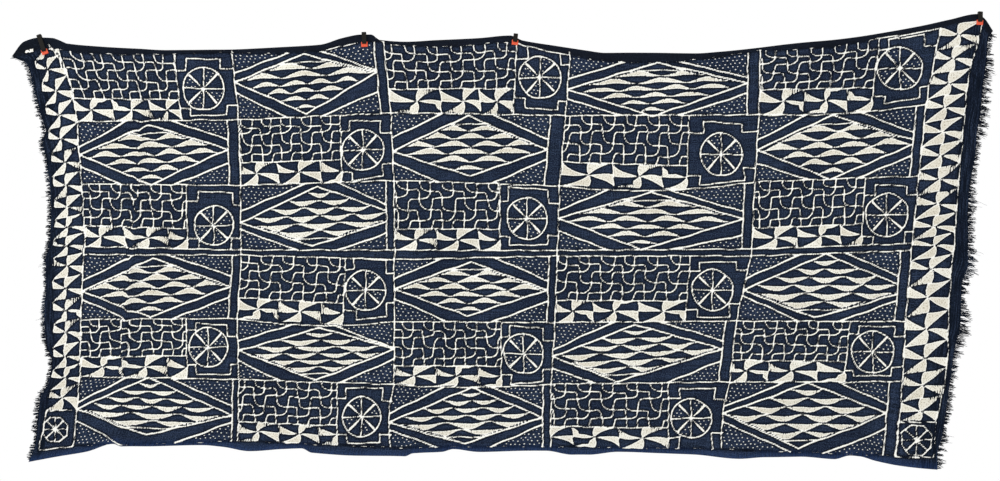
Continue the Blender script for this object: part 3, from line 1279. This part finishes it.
def build_fringe(side, end, fray, tuft_pitch, yarns_in_tuft, droop, seed, yarn, thread):
    """Frayed warp ends: tufts of yarns that leave the cloth's end and draw together at a tip."""
    node = f"fringe_{side}"
    name = f"{node}_yarn"
    chance = np.random.default_rng(seed)
    outward = np.array([1.0 if end else -1.0, 0, 0])
    tufts = int(CLOTH_DROP / tuft_pitch)
    middles = np.linspace(FRINGE_SHARES[0], FRINGE_SHARES[1], tufts)
    middles = middles + chance.uniform(-0.35, 0.35, tufts) / tufts
    shares = np.repeat(middles, yarns_in_tuft)
    spread = chance.uniform(-0.62, 0.62, len(shares)) / tufts
    roots = cloth_surface(np.full(len(shares), float(end)), np.clip(shares + spread, 0.001, 0.999))
    roots = roots - outward * FRINGE_ROOT
    roots[:, 1] += chance.uniform(-0.5, 0.5, len(shares)) * MM
    heights, lengths = np.array(fray, float)[::-1].T * MM
    tuft_length = np.interp(-CLOTH_DROP * middles, heights, lengths)
    tuft_length = tuft_length * chance.uniform(0.5, 1.4, tufts) + FRINGE_ROOT
    tuft_droop = chance.uniform(*droop, tufts)
    centres = cloth_surface(np.full(tufts, float(end)), np.clip(middles, 0.001, 0.999))
    tips = centres + outward * tuft_length[:, None]
    tips[:, 2] -= tuft_droop * tuft_length
    tips[:, 1] += chance.uniform(-1.2, 1.2, tufts) * MM
    tips = np.repeat(tips, yarns_in_tuft, axis=0)
    own = 1.05 - 0.55 * chance.uniform(0, 1, len(shares))[:, None] ** 1.7
    pulled_out = chance.random(len(shares)) < PULLED_OUT
    own[pulled_out] *= 1.7
    stray = chance.normal(0, 1, (len(shares), 3)) * np.array([0.5, 0.6, 1.1]) * MM
    straight = roots + outward * np.repeat(tuft_length, yarns_in_tuft)[:, None]
    gathered = chance.uniform(0.1, 1.0, len(shares))[:, None]
    ends = roots + (straight + (tips - straight) * gathered - roots) * own + stray
    sag = chance.uniform(-0.25, 0.35, len(shares)) * np.repeat(tuft_length, yarns_in_tuft)
    radius = chance.uniform(0.5, 0.8, len(shares)) * MM
    radius[pulled_out] *= 0.55

    corners, faces = yarn
    along = (corners[:, 2] + 0.5)[None, :, None]
    points = roots[:, None] + (ends - roots)[:, None] * along
    points[..., 2] -= sag[:, None] * 1.4 * along[..., 0] * (1 - along[..., 0])
    points[..., 2] += radius[:, None] * corners[:, 0]
    points[..., 1] -= outward[0] * radius[:, None] * corners[:, 1]
    offsets = np.arange(len(shares)) * len(corners)
    all_faces = [[corner + offset for corner in face] for offset in offsets for face in faces]
    mesh = bpy.data.meshes.new(name)
    mesh.from_pydata(points.reshape(-1, 3).tolist(), [], all_faces)
    fringe = bpy.data.objects.new(name, mesh)
    bpy.context.scene.collection.objects.link(fringe)
    mesh.materials.append(thread)
    mesh.shade_smooth()
    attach(fringe, "root")
    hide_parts(node)
    return fringe


def build_pad(number, row, side, name, rubber):
    """A grip pad: a soft block with ribs across its outer face."""
    along, height, _, lean = row
    node = f"clip_{number}_{name}_pad"
    bpy.ops.mesh.primitive_cube_add(size=1)
    pad = bpy.context.object
    pad.name = f"{node}_ribbed"
    pad.scale = PAD_SIZE
    bpy.ops.object.transform_apply(location=False, rotation=False, scale=True)
    bpy.ops.object.mode_set(mode="EDIT")
    bpy.ops.mesh.select_all(action="SELECT")
    bpy.ops.mesh.subdivide(number_cuts=6)
    bpy.ops.mesh.select_all(action="DESELECT")
    bpy.ops.object.mode_set(mode="OBJECT")
    step = PAD_SIZE[2] / 7
    for face in pad.data.polygons:
        rib = round((face.center.z + PAD_SIZE[2] / 2) / step - 0.5)
        face.select = face.normal.y * side > 0.9 and rib % 2 == 1
    bpy.ops.object.mode_set(mode="EDIT")
    bpy.ops.mesh.extrude_region_move(TRANSFORM_OT_translate={"value": (0, side * PAD_RIB, 0)})
    bpy.ops.object.mode_set(mode="OBJECT")
    rounding = pad.modifiers.new("rounding", "BEVEL")
    rounding.width = 0.4 * MM
    rounding.segments = 2
    bpy.ops.object.modifier_apply(modifier=rounding.name)
    pad.location = (along * MM, 0, height * MM)
    pad.rotation_euler.y = -math.radians(lean)
    bpy.ops.object.transform_apply(location=True, rotation=True, scale=True)
    pad.location.y = side * PAD_DEPTH_AT
    bpy.ops.object.transform_apply(location=True, rotation=True, scale=True)
    pad.data.materials.append(rubber)
    bpy.ops.object.shade_smooth_by_angle(angle=math.radians(40))
    pad.select_set(False)
    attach(pad, "root")
    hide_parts(node)


def plain_backdrop():
    """Pale painted board of the studio's floor, matt."""
    material, _, shader = new_material("pale_studio_floor", 0.8)
    shader.inputs["Base Color"].default_value = linear("#E6E6E4")
    return material


def build_studio():
    """Camera square to the cloth, white surroundings, two soft lights and a pale floor."""
    camera_data = bpy.data.cameras.new("camera")
    camera_data.sensor_width = 36
    camera_data.lens = CAMERA_LENS
    camera = bpy.data.objects.new("camera", camera_data)
    bpy.context.scene.collection.objects.link(camera)
    camera.location = CAMERA_PLACE
    camera.rotation_euler = (math.pi / 2, 0, 0)
    bpy.context.scene.camera = camera

    world = bpy.data.worlds.new("studio")
    bpy.context.scene.world = world
    world.use_nodes = True
    world.node_tree.nodes["Background"].inputs[0].default_value = (1, 1, 1, 1)
    world.node_tree.nodes["Background"].inputs[1].default_value = 1.0
    bpy.context.scene.view_settings.view_transform = "Standard"

    for name, (place, size, power) in LIGHTS.items():
        data = bpy.data.lights.new(name, "AREA")
        data.size = size
        data.energy = power
        light = bpy.data.objects.new(name, data)
        bpy.context.scene.collection.objects.link(light)
        light.location = place
        away = [place[0], place[1], place[2] - LIT_HEIGHT]
        light.rotation_euler = (
            math.atan2(math.hypot(away[0], away[1]), away[2]),
            0,
            math.atan2(away[1], away[0]) + math.pi / 2,
        )

    bpy.ops.mesh.primitive_circle_add(
        vertices=96, radius=2.5, fill_type="NGON", location=(0, 0, FLOOR_HEIGHT)
    )
    floor = bpy.context.object
    floor.name = "floor"
    floor.data.materials.append(plain_backdrop())
    floor.select_set(False)


def main():
    bpy.ops.object.select_all(action="DESELECT")
    build_studio()
    shares_along = np.linspace(0, 1, COLUMNS + 1)[None, :]
    shares_down = np.linspace(0, 1, STRIPS * ROWS + 1)[:, None]
    shares_along, shares_down = np.broadcast_arrays(shares_along, shares_down)
    points = cloth_surface(shares_along, shares_down)
    flat = np.stack([shares_along * CLOTH_LENGTH, shares_down * CLOTH_DROP], axis=-1)
    figures = draw_figures(points[..., 0] / MM, points[..., 2] / MM)
    rubber, nylon = grip_rubber(), moulded_nylon()
    for number, row in enumerate(CLIPS, 1):
        build_pad(number, row, -1, "front", rubber)
        build_pad(number, row, 1, "back", rubber)
        for part in ("front_jaw", "back_jaw", "pivot"):
            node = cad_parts[f"clip_{number}_{part}"]
            node.data.materials.clear()
            node.data.materials.append(nylon)
    cotton = indigo_cotton()
    thread, yarn = indigo_yarn(), yarn_shape()
    fringes = [build_fringe(*row, yarn, thread) for row in FRINGES]
    strips = [build_strip(number, points, flat, figures, cotton) for number in range(STRIPS)]
    for number, strip in enumerate(strips):
        neighbours = strips[max(number - 1, 0):number] + strips[number + 1:number + 2]
        rests_on = [other.name for other in neighbours]
        if number == 0:
            rests_on += [f"clip_{clip}_back_pad_ribbed" for clip in range(1, 5)]


main()
